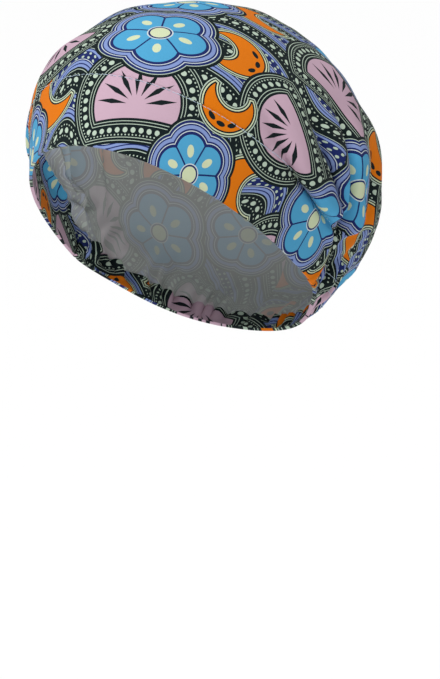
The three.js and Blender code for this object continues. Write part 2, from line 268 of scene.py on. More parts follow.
def base_point(azimuth, height):
    """A point of the cap before its folds, on the rounded loop at its height."""
    azimuth, height = np.broadcast_arrays(np.asarray(azimuth, float), np.asarray(height, float))
    loop = np.moveaxis(loop_at(height), -1, 0)
    front_y, front_z, back_y, back_z, half, widest, front_square, back_square = loop
    c, s = np.cos(np.radians(azimuth)), np.sin(np.radians(azimuth))
    at_nape = np.where(c < 0, (ROUND_NAPE - back_square) * c * c, 0)
    power = back_square + (front_square - back_square) * ease(c + 0.5) + at_nape
    reach = (np.hypot(c, 0.05) ** power + np.abs(s) ** power) ** (-1 / power)
    along = widest - np.where(c > 0, widest, 1 - widest) * c * reach
    y = front_y + (back_y - front_y) * along
    z = front_z + (back_z - front_z) * along
    return np.stack([half * s * reach, y, z], -1)


def base_normal(azimuth, height):
    """The outward direction there, from points half a degree and a small height either way."""
    level = np.minimum(height, 0.984)
    turn = base_point(azimuth + 0.5, level) - base_point(azimuth - 0.5, level)
    rise = base_point(azimuth, level + 0.004) - base_point(azimuth, np.maximum(level - 0.004, 0))
    return unit(np.cross(turn, rise))


def crease_of(fold, side):
    """Points along a fold's crease, and the way across it, towards the top of the head."""
    s = np.linspace(0, 1, 65)[:, None]
    line = (1 - s) ** 2 * fold.start + 2 * s * (1 - s) * fold.bend + s**2 * fold.end
    azimuth, height = side * line[:, 0], np.maximum(line[:, 1], fold.lowest)
    points = base_point(azimuth, height)
    return points, unit(np.cross(base_normal(azimuth, height), unit(np.gradient(points, axis=0)))) * side


def fold_effect(fold, side, depth, point):
    """What one fold does at each point: its roll's height, its crease's depth, and how far the roll leans."""
    points, across = crease_of(fold, side)
    chord = unit(points[-1] - points[0])
    reach = (points - points[0]) @ chord
    run = (point - points[0]) @ chord
    inside = np.clip(run, 0, reach[-1])
    crease = np.stack([np.interp(inside, reach, points[:, k]) for k in range(3)], -1)
    aside = unit(np.stack([np.interp(inside, reach, across[:, k]) for k in range(3)], -1))
    away = ((point - crease) * aside).sum(1) * fold.over
    near = np.linalg.norm(point - crease, axis=1) < FOLD_REACH
    past = np.abs(run - inside)
    s = inside / reach[-1]
    width = fold.wide[0] + (fold.wide[1] - fold.wide[0]) * s
    ending = np.exp(-((past / FOLD_END) ** 2))
    strength = depth * ease(s / fold.swell) * ease((1 - s) / fold.close) * ending * near
    u = np.clip(away / width, 0, 1)
    # A roll rises softly where it starts, and stands steeply over its crease further on.
    crest = 1.3 - 0.8 * ease(s / 0.6)
    roll = np.sin(np.pi * u**crest) * strength
    lean = aside * (-fold.lean * roll * (1 - u) * ease((1 - s) / 0.25) * fold.over)[:, None]
    return fold.lift * roll, fold.dip * np.exp(-((away / VALLEY) ** 2)) * strength, lean


def pleat_rise(azimuth, height):
    """Uneven pleats behind the ears and the nape, which fan out from the elastic and die away above it."""
    turned = from_brow(azimuth)
    spread = (np.abs(turned) - PLEAT_START) / (180 - PLEAT_START)
    uneven = spread + 0.03 * np.sin(9 * spread) + 0.02 * np.sin(23 * spread + 1)
    over = height - CASING_TOP
    fade = 0.8 * np.exp(-((over / 0.1) ** 2)) + 0.2 * np.exp(-((over / 0.25) ** 2))
    start = ease((np.abs(turned) - PLEAT_START) / 8) * ease(height / CASING_TOP)
    return PLEAT_RISE * start * fade * np.cos(2 * np.pi * PLEATS * uneven * np.sign(turned))


def slack_rise(azimuth, height):
    """Slow, shallow waves of the slack cloth, small puckers by the stitches, and the seam up the back."""
    turned = np.radians(from_brow(azimuth))
    loose = ease((height - SEAM - 0.03) / 0.2) * ease((1.02 - height) / 0.3)
    waves = SLOW_WAVE * np.sin(7 * turned + 9 * height) * np.sin(11 * height + 1.3)
    waves = waves + SIDE_WAVE * np.sin(12 * turned - 14 * height + 0.8) * ease((np.abs(turned) - 0.7) / 0.8)
    aside = base_point(azimuth, height)[..., 0]
    behind = ease((height - CASING_TOP) / 0.04) * ease((0.97 - height) / 0.1) * (np.abs(turned) > 1.6)
    pucker = PUCKER * np.sin(100 * turned + 3 * np.sin(9 * turned)) * np.exp(-(((height - SEAM) / 0.02) ** 2))
    return loose * waves + pucker - BACK_SEAM_DEPTH * np.exp(-((aside / BACK_SEAM_WIDTH) ** 2)) * behind


def cloth(azimuth, height):
    """Points of the worn cloth, in millimetres, for arrays of azimuths and heights of one shape."""
    azimuth, height = np.broadcast_arrays(np.asarray(azimuth, float), np.asarray(height, float))
    shape = azimuth.shape
    azimuth, height = azimuth.ravel(), height.ravel()
    point = base_point(azimuth, height)
    effects = [
        fold_effect(fold, side, depth, point)
        for side, depth in SIDES.items() for fold in FOLDS.values()
    ]
    lifts = np.array([lift for lift, _, _ in effects])
    dips = np.array([dip for _, dip, _ in effects])
    leans = np.array([lean for _, _, lean in effects])
    lift = (lifts**FOLD_POWER).sum(0) ** (1 / FOLD_POWER)
    share = (lifts / np.maximum(lift, 1e-9)) ** 2
    dip = (dips**FOLD_POWER).sum(0) ** (1 / FOLD_POWER)
    rise = lift - dip + pleat_rise(azimuth, height) + slack_rise(azimuth, height)
    point = point + base_normal(azimuth, height) * rise[:, None] + (leans * share[..., None]).sum(0)
    return point.reshape(shape + (3,))


def wrap_stations(count):
    """Azimuths round the cap, closer together where the folds are."""
    even = np.linspace(-180, 180, count + 1)
    return even + 8 * np.sin(np.radians(even)) + 15 * np.sin(np.radians(2 * even))


def flap_end(height):
    """The azimuth where the band ends, at each height: a rounded tip below and a straight side above it."""
    low = FLAP_SIDE - (FLAP_SIDE - FLAP_TIP) * (1 - np.minimum(height, CASING_TOP) / CASING_TOP) ** 2
    high = FLAP_TOP + (FLAP_SIDE - FLAP_TOP) * (SEAM - height) / (SEAM - CASING_TOP)
    return np.where(height < CASING_TOP, low, high)


def crown_edge(azimuth):
    """The crown's lowest height, at each azimuth: the seam in front and the casing's top behind."""
    share = np.clip((np.abs(azimuth) - FLAP_TOP) / (FLAP_SIDE - FLAP_TOP), 0, 1)
    return SEAM + (CASING_TOP - SEAM) * share


def leaned(azimuth, height):
    """Azimuths moved forward with height, so that the crown's columns follow the rolls."""
    size = np.abs(azimuth)
    share = np.where(size < FLAP_TOP, size / FLAP_TOP, (180 - size) / (180 - FLAP_TOP))
    x = np.clip((height - LEAN_FROM) / LEAN_OVER, 0, 1)
    return azimuth - np.sign(azimuth) * LEAN_MOST * share * x * (1.4 - 0.4 * x)


def unrolled(vertices, faces):
    """The flat place of each vertex of a mesh, unwrapped with the least stretch."""
    mesh = bpy.data.meshes.new("flat_pattern")
    mesh.from_pydata(vertices.tolist(), [], faces)
    mesh.uv_layers.new(name="flat")
    piece = bpy.data.objects.new("flat_pattern", mesh)
    bpy.context.scene.collection.objects.link(piece)
    bpy.context.view_layer.objects.active = piece
    piece.select_set(True)
    bpy.ops.object.mode_set(mode="EDIT")
    bpy.ops.mesh.select_all(action="SELECT")
    bpy.ops.uv.unwrap(method="MINIMUM_STRETCH", iterations=20, margin=0)
    bpy.ops.object.mode_set(mode="OBJECT")
    corner = np.empty(len(mesh.loops), int)
    mesh.loops.foreach_get("vertex_index", corner)
    flat = np.empty(len(mesh.loops) * 2)
    mesh.uv_layers["flat"].data.foreach_get("uv", flat)
    places = np.zeros((len(vertices), 2))
    places[corner] = flat.reshape(-1, 2)
    bpy.data.objects.remove(piece)
    return places


def flat_pattern():
    """The cloth laid flat, cut open at the nape: a table of flat places by azimuth and height."""
    columns, rows = wrap_stations(PATTERN_COLUMNS), np.linspace(0, 1, PATTERN_ROWS)
    azimuth, height = np.meshgrid(columns, rows[:-1])
    count = len(columns)
    vertices = np.vstack([cloth(azimuth, height).reshape(-1, 3), base_point(0.0, 1.0)[None]])
    pole = len(vertices) - 1
    faces = [(r * count + c, r * count + c + 1, (r + 1) * count + c + 1, (r + 1) * count + c)
             for r in range(len(rows) - 2) for c in range(count - 1)]
    faces += [((len(rows) - 2) * count + c, (len(rows) - 2) * count + c + 1, pole) for c in range(count - 1)]
    places = unrolled(vertices, faces)
    triangles = np.array([face[:3] for face in faces] + [(f[0], f[2], f[3]) for f in faces if len(f) == 4])
    a, b, c = (vertices[triangles[:, k]] for k in range(3))
    worn = np.linalg.norm(np.cross(b - a, c - a), axis=1).sum()
    a, b, c = (places[triangles[:, k]] for k in range(3))
    signed = ((b - a)[:, 0] * (c - a)[:, 1] - (b - a)[:, 1] * (c - a)[:, 0]).sum()
    places = (places - places[pole]) * math.sqrt(worn / abs(signed))
    brow = places[np.argmin(np.abs(columns))]
    turn = math.atan2(brow[0], -brow[1])
    places = places @ np.array([[math.cos(turn), -math.sin(turn)], [math.sin(turn), math.cos(turn)]])
    grid = places[:-1].reshape(len(rows) - 1, count, 2)
    return columns, rows, np.concatenate([grid, np.broadcast_to(places[-1], (1, count, 2))])


def flat_places(azimuth, height):
    """The flat place of each place on the cloth, between the pattern's own."""
    columns, rows, grid = pattern
    c = np.clip(np.searchsorted(columns, azimuth, side="right") - 1, 0, len(columns) - 2)
    r = np.clip(np.searchsorted(rows, height, side="right") - 1, 0, len(rows) - 2)
    u = ((azimuth - columns[c]) / (columns[c + 1] - columns[c]))[..., None]
    v = ((height - rows[r]) / (rows[r + 1] - rows[r]))[..., None]
    low = grid[r, c] * (1 - u) + grid[r, c + 1] * u
    high = grid[r + 1, c] * (1 - u) + grid[r + 1, c + 1] * u
    return low * (1 - v) + high * v


def cloth_sheet(name, azimuth, height, shift=(0, 0), sunk=0):
    """One layer of cloth over a grid of places, welded where its edges meet, with its flat places as its map.

    sunk is how far each place lies below the cloth's face, where it is sewn under another piece.
    """
    rows, columns = azimuth.shape
    index = np.arange(rows * columns).reshape(rows, columns)
    face = cloth(azimuth, height) - base_normal(azimuth, height) * np.asarray(sunk)[..., None]
    points = face.reshape(-1, 3) * MM
    corner = np.stack([index[:-1, :-1], index[:-1, 1:], index[1:, 1:], index[1:, :-1]], -1).reshape(-1, 4)
    turned = azimuth.ravel()[corner]
    turned = turned - 360 * (turned.mean(1, keepdims=True) > 180)
    flat = flat_places(turned.ravel(), height.ravel()[corner.ravel()]) + shift
    mesh = bpy.data.meshes.new(name)
    mesh.from_pydata(points.tolist(), [], corner.tolist())
    mesh.uv_layers.new(name="flat").data.foreach_set("uv", flat.ravel())
    mesh.polygons.foreach_set("use_smooth", np.ones(len(corner), bool))
    weld = bmesh.new()
    weld.from_mesh(mesh)
    bmesh.ops.remove_doubles(weld, verts=weld.verts, dist=1e-6)
    weld.to_mesh(mesh)
    weld.free()
    piece = bpy.data.objects.new(name, mesh)
    bpy.context.scene.collection.objects.link(piece)
    return piece


def thicken(piece, wall, inner):
    """The cloth's thickness, inwards, with a finish of its own inside and its cut or folded edges rounded."""
    piece.data.materials.append(outside)
    piece.data.materials.append(inner)
    rim = piece.vertex_groups.new(name="rim")
    solid = piece.modifiers.new("wall", "SOLIDIFY")
    solid.thickness = wall * MM
    solid.offset = -1
    solid.material_offset = 1
    solid.rim_vertex_group = rim.name
    round_off = piece.modifiers.new("rounding", "BEVEL")
    round_off.limit_method = "VGROUP"
    round_off.vertex_group = rim.name
    round_off.width = EDGE_ROUND * wall * MM
    round_off.segments = 3


def flat_size(piece):
    """The width and length of a panel laid flat, in metres, and its area in square metres."""
    mesh = piece.data
    flat = np.empty(len(mesh.loops) * 2)
    mesh.uv_layers["flat"].data.foreach_get("uv", flat)
    u, v = flat.reshape(-1, 2).T * MM
    start = np.empty(len(mesh.polygons), int)
    mesh.polygons.foreach_get("loop_start", start)
    following = np.arange(len(u)) + 1
    following[start[1:] - 1] = start[:-1]
    following[-1] = start[-1]
    area = abs((u * v[following] - u[following] * v).sum()) / 2
    return {"flat": (float(np.ptp(u)), float(np.ptp(v))), "area": float(area)}


class Signal:
    """A socket of a node tree, so that shader maths reads as Python expressions."""

    def __init__(self, tree, socket=None):
        self.tree = tree
        self.socket = socket

    def feed(self, socket, value):
        if isinstance(value, Signal):
            self.tree.links.new(value.socket, socket)
        else:
            socket.default_value = value

    def node(self, kind, settings=None, output=0, **inputs):
        """Any node: its settings and a ramp's stops first, then its sockets, by name, or by number as _0."""
        node = self.tree.nodes.new(kind)
        for name, value in (settings or {}).items():
            if name == "stops":
                set_stops(node.color_ramp, value)
            else:
                setattr(node, name, value)
        for name, value in inputs.items():
            key = int(name[1:]) if name[0] == "_" else name.replace("_", " ")
            self.feed(node.inputs[key], value)
        return Signal(self.tree, node.outputs[output] if node.outputs else None)

    def math(self, operation, *others):
        values = {f"_{i}": value for i, value in enumerate((self, *others))}
        return self.node("ShaderNodeMath", {"operation": operation}, **values)

    def __add__(self, other):
        return self.math("ADD", other)

    def __radd__(self, other):
        return self.math("ADD", other)

    def __sub__(self, other):
        return self.math("SUBTRACT", other)

    def __rsub__(self, other):
        return -self + other

    def __mul__(self, other):
        return self.math("MULTIPLY", other)

    def __rmul__(self, other):
        return self.math("MULTIPLY", other)

    def __truediv__(self, other):
        return self.math("DIVIDE", other)

    def __neg__(self):
        return self.math("MULTIPLY", -1.0)

    def __lt__(self, other):
        return self.math("LESS_THAN", other)

    def __gt__(self, other):
        return self.math("GREATER_THAN", other)

    def __abs__(self):
        return self.math("ABSOLUTE")

    def sine(self):
        return self.math("SINE")

    def least(self, other):
        return self.math("MINIMUM", other)

    def most(self, other):
        return self.math("MAXIMUM", other)

    def wrapped(self, span):
        """The value brought into one span round zero."""
        return self.math("WRAP", span / 2, -span / 2)

    def length_with(self, other):
        both = self.node("ShaderNodeCombineXYZ", X=self, Y=other)
        return self.node("ShaderNodeVectorMath", {"operation": "LENGTH"}, output=1, _0=both)

    def angle_to(self, x):
        return self.math("ARCTAN2", x)

    def beside(self, output):
        """Another output of the same node."""
        return Signal(self.tree, self.socket.node.outputs[output])

    def parts(self):
        """A vector's x, y and z."""
        split = self.node("ShaderNodeSeparateXYZ", Vector=self)
        return [split.beside(i) for i in range(3)]

    def plain(self, colour):
        """A colour on its own, for others to be painted over."""
        signal = self.node("ShaderNodeRGB")
        signal.socket.default_value = colour
        return signal

    def painted(self, other, where):
        """This colour, with another one where a mask is 1."""
        return self.node("ShaderNodeMix", {"data_type": "RGBA"}, output=2, _0=where, _6=self, _7=other)


def set_stops(ramp, stops):
    """Hard-edged colours along a ramp, each from its own place to the next one's."""
    ramp.interpolation = "CONSTANT"
    while len(ramp.elements) < len(stops):
        ramp.elements.new(0.5)
    for element, (place, colour) in zip(ramp.elements, stops):
        element.position = place
        element.color = colour


def linear(red, green, blue):
    """A colour given in 0 to 255 as it looks on a screen, as the light it stands for."""
    values = [v / 255 for v in (red, green, blue)]
    return (*[v / 12.92 if v <= 0.04045 else ((v + 0.055) / 1.055) ** 2.4 for v in values], 1.0)


# The print: moons, fans and rosettes in fine outlines on a dark dotted ground, repeated over tiles. Its sizes
# are in millimetres of flat cloth. An edge is a list of inks, each from its own distance outwards.
INKS = {
    "ink": linear(20, 31, 33),
    "navy": linear(31, 43, 101),
    "periwinkle": linear(132, 152, 204),
    "white": linear(205, 216, 220),
    "mint": linear(188, 206, 188),
    "mauve": linear(200, 169, 186),
    "sky": linear(80, 164, 207),
    "orange": linear(226, 120, 12),
    "lime": linear(210, 220, 182),
}
DOTTED_EDGE = [
    (0, "ink"), (1.3, "mint"), (1.7, "ink"), (2.9, "mint"), (3.28, "ink"),
    (9.7, "mint"), (10.1, "ink"), (11.3, "mint"), (11.68, "ink"),
]
LINED_EDGE = [
    (0, "navy"), (1.5, "white"), (1.95, "navy"), (2.8, "periwinkle"), (4.6, "navy"),
    (5.3, "white"), (5.75, "navy"), (7.0, "mint"), (7.4, "ink"),
]
MOON_EDGE = [(0, "ink"), (0.8, "lime"), (1.5, "ink"), (2.1, "mint"), (2.7, "ink")]
HEART_EDGE = [(0, "navy"), (0.9, "white")]
GROUND = [
    (0, "ink"), (9.2, "mint"), (9.6, "ink"), (10.8, "periwinkle"), (12.4, "navy"), (13.2, "periwinkle"),
    (14.8, "navy"), (15.5, "white"), (15.9, "navy"), (21.6, "periwinkle"), (23.2, "navy"), (24.0, "mint"),
    (24.4, "ink"),
]
DOTTED_WIDTH, LINED_WIDTH, MOON_WIDTH, HEART_WIDTH, GROUND_WIDTH = 13.2, 9.0, 3.1, 1.5, 27.5
TILE = (134.0, 110.0)
BIG_DOT, MIDDLE_DOT, SMALL_DOT = 1.4, 0.82, 0.42  # radii
BIG_PITCH, SMALL_PITCH = 4.6, 2.1
BIG_ROW, BIG_STRAIGHT_ROW, SMALL_ROW = 5.9, 6.1, 8.6  # distances from a fan's edge
DOTS_FROM, DOTS_TO = 3.35, 9.7
GROUND_BIG, GROUND_MIDDLE = 3.7, 18.9  # where the rows of dots lie in the ground's bands


def stripes(distance, bands, width):
    """Bands of ink by distance, each from its own start to the next one's, over a width."""
    stops = [(start / width, INKS[ink]) for start, ink in bands]
    return distance.node("ShaderNodeValToRGB", {"stops": stops}, _0=distance / width)


def local(u, v, centre, turn):
    """Coordinates from the nearest copy of a motif, turned: its tiles stand in rows, each half a tile on."""
    width, height = TILE
    down = v - centre[1]
    y = down.wrapped(height)
    row = (down - y) / height
    x = (u - centre[0] + row * (width / 2)).wrapped(width)
    c, s = math.cos(math.radians(turn)), math.sin(math.radians(turn))
    return x * c + y * s, y * c - x * s


def dots_round(radius_now, angle, ring, pitch, size):
    """A ring of dots: 1 inside them."""
    step = 2 * math.pi / round(ring * 2 * math.pi / pitch)
    return (radius_now - ring).length_with(angle.wrapped(step) * ring) < size


def framed(under, distance, fill, bands, width):
    """A motif over a colour: its fill inside its outline, and bands of ink round that."""
    motif = stripes(distance, bands, width).painted(fill, distance < 0.0)
    return under.painted(motif, distance < width)


def fan(under, u, v, centre, turn, size, ribs):
    """A half disc with tapering ribs from the middle of its straight side, and dots round its edge."""
    x, y = local(u, v, centre, turn)
    r = x.length_with(y)
    angle = y.angle_to(x)
    foot = size * 0.28
    distance = (r - size).most(-y - foot)
    rib_turn = math.pi / ribs
    rib = abs((angle - rib_turn / 2).wrapped(rib_turn)) * r
    rib_width = (0.5 - abs(r / size - 0.58) * 1.4) * 2.6
    inside = under.plain(INKS["mauve"]).painted(INKS["ink"], (rib < rib_width) * (y > 0.0))
    result = framed(under, distance, inside, DOTTED_EDGE, DOTTED_WIDTH)
    big = dots_round(r, angle, size + BIG_ROW, BIG_PITCH, BIG_DOT)
    small = dots_round(r, angle, size + SMALL_ROW, SMALL_PITCH, SMALL_DOT)
    big_line = abs(x).wrapped(BIG_PITCH).length_with(y + foot + BIG_STRAIGHT_ROW) < BIG_DOT
    small_line = abs(x).wrapped(SMALL_PITCH).length_with(y + foot + SMALL_ROW) < SMALL_DOT
    straight = -y - foot > r - size
    dots = big.most(small) * (1.0 - straight) + big_line.most(small_line) * straight
    return result.painted(INKS["mint"], dots * (distance > DOTS_FROM) * (distance < DOTS_TO))


def rosette(under, u, v, centre, turn, petals, reach, round_size):
    """Round petals about a heart, with bands of ink that follow them."""
    x, y = local(u, v, centre, turn)
    r = x.length_with(y)
    angle = y.angle_to(x).wrapped(2 * math.pi / petals)
    along = r * angle.math("COSINE") - reach
    across = r * angle.sine()
    heart = reach * 0.36
    between = abs(abs(angle) - math.pi / petals) * r < 0.45
    drop = (along * 0.62).length_with(across) < 2.0
    inside = under.plain(INKS["sky"]).painted(INKS["navy"], between * (r > heart)).painted(INKS["lime"], drop)
    inside = framed(inside, r - heart, INKS["lime"], HEART_EDGE, HEART_WIDTH)
    distance = (along.length_with(across) - round_size).least(r - reach)
    return framed(under, distance, inside, LINED_EDGE, LINED_WIDTH)


def crescent(under, u, v, centre, turn, size):
    """A crescent with three dark seeds, whose horns are cut blunt a little before their tips."""
    x, y = local(u, v, centre, turn)
    r = x.length_with(y)
    bite = (x - size * 0.62).length_with(y) - size * 0.76
    horn = (x - size * 0.651) * 0.931 - (abs(y) - size * 0.759) * 0.365
    distance = (r - size).most(-bite).most(horn)
    angle = y.angle_to(-x)
    seed = (r - size * 0.78).length_with(angle.wrapped(0.62) * size * 0.78 * 0.5) < 1.25
    inside = under.plain(INKS["orange"]).painted(INKS["ink"], seed * (abs(angle) < 0.93))
    return framed(under, distance, inside, MOON_EDGE, MOON_WIDTH)


def dotted_ground(u, v):
    """Wavy rows of dots between fine lines, which fill what the motifs leave."""
    once = 2 * math.pi / TILE[0]
    wave = (u * (once * 2)).sine() * 8.0 + (u * (once * 3) + 1.0).sine() * 3.0
    level = (v + wave).math("WRAP", GROUND_WIDTH, 0.0)
    colour = stripes(level, GROUND, GROUND_WIDTH)
    big = u.wrapped(4.9).length_with(level - GROUND_BIG) < 1.5
    small = u.wrapped(2.2).length_with(abs(level - GROUND_BIG) - 3.0) < SMALL_DOT
    middling = (u + 1.3).wrapped(3.8).length_with(abs(level - GROUND_MIDDLE) - 1.5) < MIDDLE_DOT
    return colour.painted(INKS["mint"], big.most(small).most(middling))


def print_group():
    """The whole print by its flat place, as one node group that each piece's material can hold."""
    tree = bpy.data.node_groups.new("folk_print", "ShaderNodeTree")
    tree.interface.new_socket("Place", in_out="INPUT", socket_type="NodeSocketVector")
    tree.interface.new_socket("Colour", in_out="OUTPUT", socket_type="NodeSocketColor")
    place = Signal(tree).node("NodeGroupInput", output="Place")
    u, v, _ = place.parts()
    colour = dotted_ground(u, v)
    colour = crescent(colour, u, v, (101, 38), 35, 17)
    colour = crescent(colour, u, v, (46, 92), 200, 15)
    colour = fan(colour, u, v, (24, 32), 20, 23, 7)
    colour = rosette(colour, u, v, (70, 20), 10, 6, 12.0, 8.2)
    colour = fan(colour, u, v, (92, 82), 160, 20, 7)
    colour = rosette(colour, u, v, (14, 78), 0, 5, 12.5, 9.6)
    colour = crescent(colour, u, v, (62, 60), 110, 13)
    place.node("NodeGroupOutput", Colour=colour)
    return tree


WEAVE = 0.55  # pitch of the weave, in millimetres
BARE_COTTON = linear(228, 231, 228)


def cotton(name, mirrored=False, shown_through=1.0):
    """Printed cotton. Its reverse shows the print palely, and a turned-in hem shows it mirrored."""
    material = bpy.data.materials.new(name)
    material.use_nodes = True
    start = Signal(material.node_tree)
    u, v, _ = start.node("ShaderNodeUVMap", {"uv_map": "flat"}).parts()
    where = start.node("ShaderNodeCombineXYZ", X=u, Y=-v if mirrored else v)
    colour = start.node("ShaderNodeGroup", {"node_tree": folk}, Place=where)
    body = start.node("ShaderNodeTexCoord", output="Object")
    blotch = start.node("ShaderNodeTexNoise", Vector=body, Scale=38.0, Detail=3.0)
    colour = colour.painted((0.0, 0.0, 0.0, 1.0), blotch * 0.12)
    if shown_through < 1:
        colour = colour.painted(BARE_COTTON, 1.0 - shown_through)
    once = 2 * math.pi / WEAVE
    threads = (u * once).sine() * (v * once).sine()
    crumple = start.node("ShaderNodeTexNoise", Vector=body, Scale=110.0, Detail=2.0)
    relief = start.node("ShaderNodeBump", Strength=0.6, Distance=MM, Height=threads * 0.05 + crumple * 0.45)
    sockets = material.node_tree.nodes["Principled BSDF"].inputs
    start.feed(sockets["Base Color"], colour)
    start.feed(sockets["Roughness"], 0.78 + blotch * 0.12)
    start.feed(sockets["Normal"], relief)
    sockets["Specular IOR Level"].default_value = 0.08
    sockets["Sheen Weight"].default_value = 0.03
    sockets["Sheen Roughness"].default_value = 0.5
    return material


pattern = flat_pattern()
folk = print_group()
outside = cotton("printed_cotton")
reverse = cotton("printed_cotton_reverse", shown_through=0.35)
turned_in = cotton("printed_cotton_turned_in", mirrored=True)

stations = wrap_stations(CROWN_COLUMNS)
rows = np.linspace(0, 1, CROWN_ROWS)
closer_below = 0.62 * rows + 0.38 * rows**2
turned, share = np.meshgrid(stations, np.append([0, 0], closer_below))
past_flap_top = ease((np.abs(turned) - FLAP_TOP + 1) / FLAP_BLEND)
behind_flap = past_flap_top * ease((FLAP_SIDE + FLAP_BLEND - np.abs(turned)) / FLAP_BLEND)
tucked = np.array(TUCK_SHARE + [0] * CROWN_ROWS)[:, None] * (TUCK + FLAP_TUCK * behind_flap)
sunk = np.broadcast_to(np.array(TUCK_SUNK + [0] * CROWN_ROWS)[:, None], turned.shape)
height = crown_edge(turned) + (1 - crown_edge(turned)) * share - tucked
crown = cloth_sheet("crown_cloth", leaned(turned, height), height, sunk=sunk)
thicken(crown, CROWN_WALL, reverse)
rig.replaces(crown, "crown")
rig.ride(crown, "root")
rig.slot(crown, "printed_cotton")
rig.sheet(crown, held="gathered", rests_on=["front_band", "nape_casing"], **flat_size(crown))

# ---------------------------------------------------------------- front band
# The cloth turned in 37 mm over the brow, from ear to ear, and stitched along its top edge. It ends behind
# each ear in a corner that lies over the casing, and at the seam its print lies a step off the crown's.
BAND_WALL = 1.8
BAND_ROWS = 22
BAND_DRAWN = 80  # azimuth past which its columns are drawn to its slanted end
SEAM_GAP = 0.0008  # height that is left free below a seam
END_GAP = 0.2  # degrees that are left free at the band's end
PRINT_STEP = (1.2, 0)


def strip_size(azimuth, height):
    """The width and length of a strip laid flat, in metres: as far as its cloth runs across and along it."""
    points = cloth(azimuth, height) * MM
    across = np.linalg.norm(np.diff(points, axis=0), axis=2).sum(0).mean()
    along = np.linalg.norm(np.diff(points[len(points) // 2], axis=0), axis=1).sum()
    return float(across), float(along)


front = stations[np.abs(stations) <= FLAP_TOP]
turned, share = np.meshgrid(front / np.abs(front).max() * FLAP_TOP, np.linspace(0, 1, BAND_ROWS))
height = share * (SEAM - SEAM_GAP)
drawn = ease((np.abs(turned) - BAND_DRAWN) / (FLAP_TOP - BAND_DRAWN))
azimuth = turned + (flap_end(height) - END_GAP - FLAP_TOP) * drawn * np.sign(turned)
band = cloth_sheet("band_cloth", azimuth, height, PRINT_STEP)
thicken(band, BAND_WALL, turned_in)
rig.replaces(band, "front_band")
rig.ride(band, "root")
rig.slot(band, "band_cotton")
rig.sheet(band, strip_size(azimuth, height), "stretched")

# ---------------------------------------------------------------- nape casing
# A tunnel of the same cloth round a flat elastic, which gathers it from ear to ear behind the neck. Its ends
# lap a little under the band's, where the two are sewn together.
CASING_WALL = 2.0
CASING_HALF, CASING_ROWS = 110, 14  # columns on each side, and rows
CASING_DRAWN = 60  # degrees from the middle of the back, past which its columns are drawn to its slanted ends
LAP, LAP_SUNK = [2.4, 1.2], 0.45  # degrees in the last two columns, and the depth for each degree

left_half = np.linspace(FLAP_SIDE, 180, CASING_HALF)
behind_neck = np.concatenate([left_half, (360 - left_half[:-1])[::-1]])
around, share = np.meshgrid(behind_neck, np.linspace(0, 1, CASING_ROWS))
turned = around - 180
height = share * (CASING_TOP - SEAM_GAP)
drawn = ease((np.abs(turned) - CASING_DRAWN) / (180 - FLAP_SIDE - CASING_DRAWN))
lap = np.zeros(len(behind_neck))
lap[:2] = LAP
lap[-2:] = LAP[::-1]
azimuth = around + ((FLAP_SIDE - flap_end(height) - END_GAP) * drawn + lap) * np.sign(turned)
casing = cloth_sheet("casing_cloth", azimuth, height, sunk=np.broadcast_to(LAP_SUNK * lap, azimuth.shape))
thicken(casing, CASING_WALL, turned_in)
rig.replaces(casing, "nape_casing")
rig.ride(casing, "root")
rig.slot(casing, "casing_cotton")
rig.sheet(casing, strip_size(azimuth, height), "gathered")

# ---------------------------------------------------------------- stitches
# Pale thread from a lockstitch machine: one line holds the band's turned-in edge, and one closes the casing's
# tunnel. Each stitch is a short arch that sinks in at both ends, set along its line by Geometry Nodes.
THREAD = linear(186, 207, 224)
THREAD_SHADE = linear(142, 165, 188)
TWIST = 0.5 * MM
STITCH = {"Pitch": 2.9 * MM, "Length": 2.6 * MM, "Thread": 0.16 * MM}
BELOW_EDGE = 0.004  # height from an edge down to its stitches
BAND_LINE_END, PAST_FLAP = 97, 1.5  # degrees
# Over the ears the band's line runs up into the crease under the first roll.
RISE_FROM, RISE_OVER, CREASE_RISE = 56, 16, 0.0075


def thread_finish():
    """Pale thread, unevenly dyed, with the twist of its plies."""
    material = bpy.data.materials.new("pale_thread")
    material.use_nodes = True
    start = Signal(material.node_tree)
    body = start.node("ShaderNodeTexCoord", output="Object")
    x, y, z = body.parts()
    twist = ((x + y + z) * (2 * math.pi / TWIST)).sine()
    dye = start.node("ShaderNodeTexNoise", Vector=body, Scale=260.0, Detail=2.0)
    dark = (dye * 0.5 + twist * 0.12 - 0.05).most(0.0)
    colour = start.plain(THREAD).painted(THREAD_SHADE, dark)
    relief = start.node("ShaderNodeBump", Strength=0.5, Distance=0.04 * MM, Height=twist)
    sockets = material.node_tree.nodes["Principled BSDF"].inputs
    start.feed(sockets["Base Color"], colour)
    start.feed(sockets["Roughness"], 0.48 + dye * 0.14)
    start.feed(sockets["Normal"], relief)
    return material


